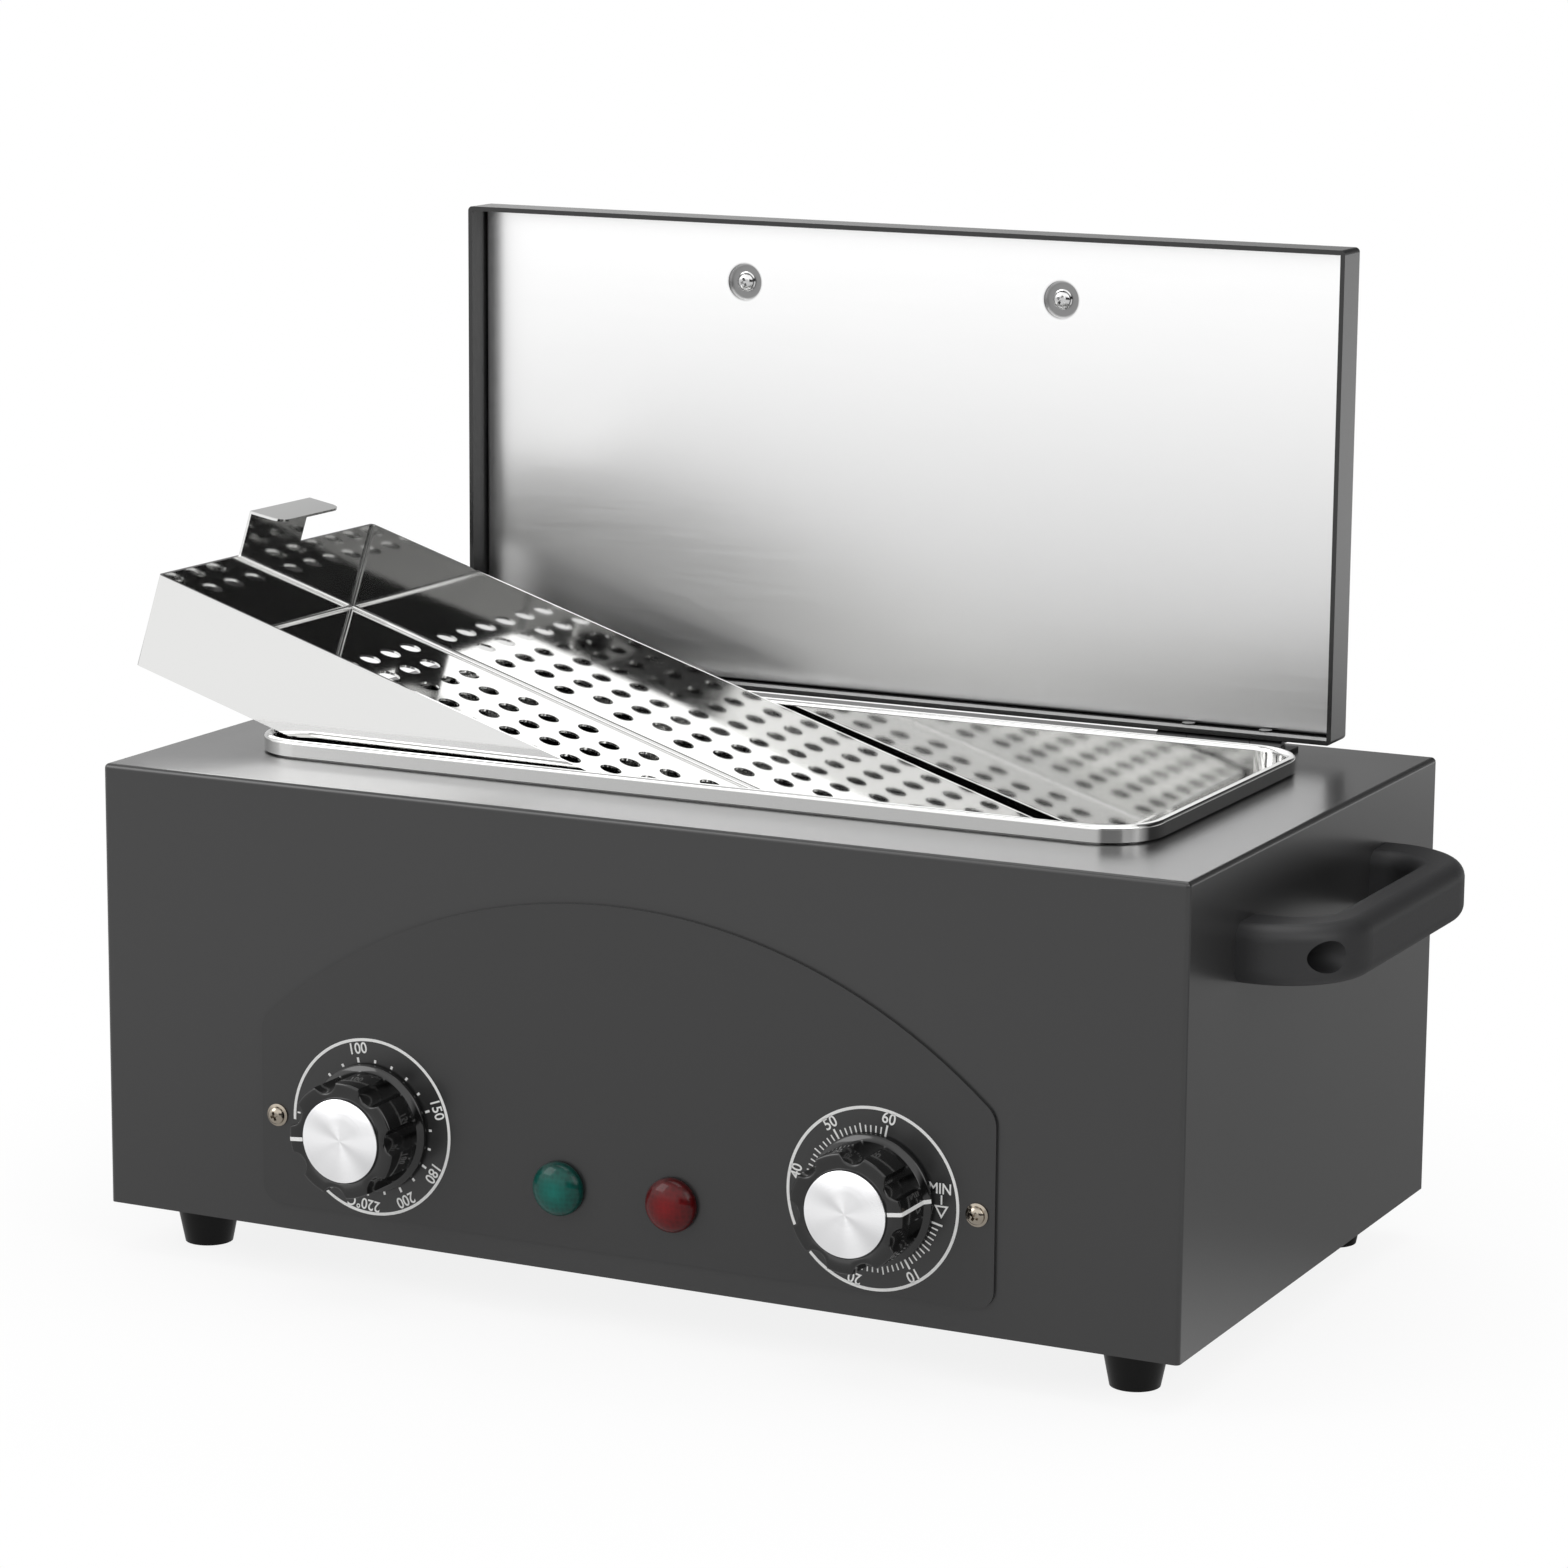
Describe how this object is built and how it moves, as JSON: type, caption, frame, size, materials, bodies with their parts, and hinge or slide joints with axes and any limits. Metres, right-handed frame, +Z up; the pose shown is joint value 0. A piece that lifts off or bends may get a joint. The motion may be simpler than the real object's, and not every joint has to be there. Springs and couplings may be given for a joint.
{
  "type": "dry heat sterilizer",
  "caption": "Bench-top dry heat sterilizer: heated steel well with a loose perforated tray, hinged mirror-lined lid, two dials, two lamps and carrying handles.",
  "frame": {"origin": "on the bench under the middle of the case", "axes": "+Z up, front with the dials faces -Y, hinges at +Y"},
  "size_m": [0.423, 0.2477, 0.3144],
  "materials": {
    "case_paint": "satin",
    "foot_rubber": "matt",
    "plated_screws": "bright",
    "polished_steel": "polished",
    "insulation_felt": "matt",
    "plain_steel": "satin",
    "device_plastic": "matt",
    "knob_plastic": "gloss",
    "spun_aluminium": "spun",
    "green_lens": "clear",
    "red_lens": "clear",
    "mirror_steel": "polished",
    "hinge_black": "satin",
    "tray_steel": "polished"
  },
  "bodies": {
    "case": {"bottom_plate": "case_paint", "case_rivets": "plated_screws", "control_panel": "case_paint", "cord_gland": "device_plastic", "edge_screws": "plated_screws", "foot_front_left": "foot_rubber", "foot_front_right": "foot_rubber", "foot_rear_left": "foot_rubber", "foot_rear_right": "foot_rubber", "foot_screws": "plated_screws", "gland_nut": "device_plastic", "handle_left": "device_plastic", "handle_right": "device_plastic", "heater_clamp_left": "plain_steel", "heater_clamp_right": "plain_steel", "heater_nuts": "plated_screws", "heater_studs": "plated_screws", "heater_tube": "plain_steel", "hinge_case_leaf_left": "hinge_black", "hinge_case_leaf_right": "hinge_black", "hinge_pin_left": "plated_screws", "hinge_pin_right": "plated_screws", "housing": "case_paint", "lamp_green": "green_lens", "lamp_holder_green": "device_plastic", "lamp_holder_red": "device_plastic", "lamp_red": "red_lens", "panel_screws": "plated_screws", "side_handle_nuts": "plated_screws", "side_handle_screws": "plated_screws", "terminal_block": "device_plastic", "thermostat_body": "device_plastic", "thermostat_bulb": "plain_steel", "thermostat_screws": "plated_screws", "timer_body": "device_plastic", "timer_screws": "plated_screws", "well_insulation": "insulation_felt", "well_pan": "polished_steel"},
    "lid": {"lid_shell": "case_paint", "lid_liner": "mirror_steel", "lid_insulation": "insulation_felt", "lid_handle": "device_plastic", "lid_handle_screws": "plated_screws", "lid_handle_nuts": "plated_screws", "hinge_lid_leaf_left": "hinge_black", "hinge_lid_leaf_right": "hinge_black", "lid_rivets": "plated_screws"},
    "thermostat_dial": {"thermostat_knob": "knob_plastic", "thermostat_cap": "spun_aluminium", "thermostat_shaft": "plain_steel"},
    "timer_dial": {"timer_knob": "knob_plastic", "timer_cap": "spun_aluminium", "timer_shaft": "plain_steel"},
    "tray": {"tray": "tray_steel", "tray_floor": "tray_steel"}
  },
  "joints": [
    {"name": "lid_hinge", "type": "hinge", "parent": "case", "child": "lid", "pos_m": [0, 0.0798, 0.1577], "axis": [1, 0, 0], "range_deg": [0, 15]},
    {"name": "tray_slide", "type": "slide", "parent": "case", "child": "tray", "axis": [-0.9551, 0.0167, 0.296], "range_m": [0, 0.21]},
    {"name": "thermostat_turn", "type": "hinge", "parent": "case", "child": "thermostat_dial", "pos_m": [-0.0842, -0.105, 0.0515], "axis": [0, 1, 0], "range_deg": [0, 279]},
    {"name": "timer_turn", "type": "hinge", "parent": "case", "child": "timer_dial", "pos_m": [0.0842, -0.105, 0.0515], "axis": [0, 1, 0], "range_deg": [0, 288]}
  ]
}
